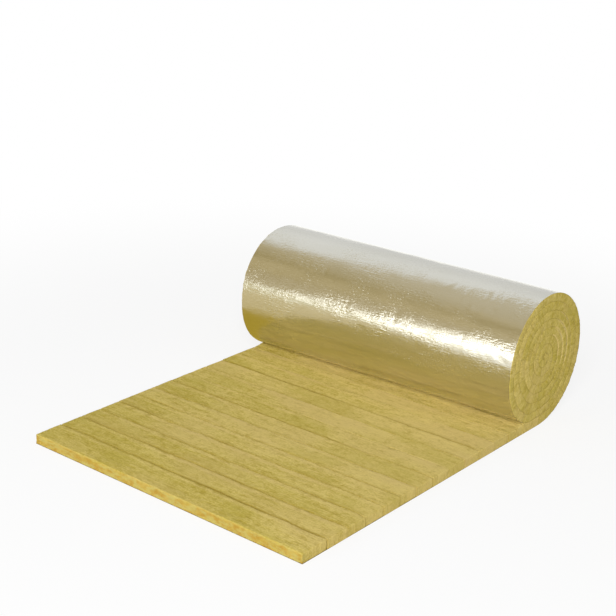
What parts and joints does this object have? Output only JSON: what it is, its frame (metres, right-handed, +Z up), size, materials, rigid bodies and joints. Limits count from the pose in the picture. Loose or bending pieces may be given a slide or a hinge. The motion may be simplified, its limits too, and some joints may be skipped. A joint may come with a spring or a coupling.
{
  "type": "insulation roll",
  "caption": "Foil-faced stone wool lamella mat, partly unrolled: wool strips side by side on the flat stretch, the rest wound up in a roll with the foil outside.",
  "frame": {"origin": "middle of the floor under the whole piece", "axes": "+Y from the free end of the flat mat towards the roll, +X across the mat, +Z up"},
  "size_m": [1, 1.3628, 0.4284],
  "materials": {
    "stone_wool": "matt mineral wool, olive gold, fine fibres and mottling",
    "foil": "bright aluminium foil, fine reinforcing grid, creased"
  },
  "bodies": {
    "root": {"lamella_01": "stone_wool", "lamella_02": "stone_wool", "lamella_03": "stone_wool", "lamella_04": "stone_wool", "lamella_05": "stone_wool", "lamella_06": "stone_wool", "lamella_07": "stone_wool", "lamella_08": "stone_wool", "lamella_09": "stone_wool", "lamella_10": "stone_wool", "lamella_11": "stone_wool", "lamella_12": "stone_wool", "lamella_13": "stone_wool", "lamella_14": "stone_wool", "wound_wool": "stone_wool", "foil_facing": "foil"}
  },
  "joints": []
}
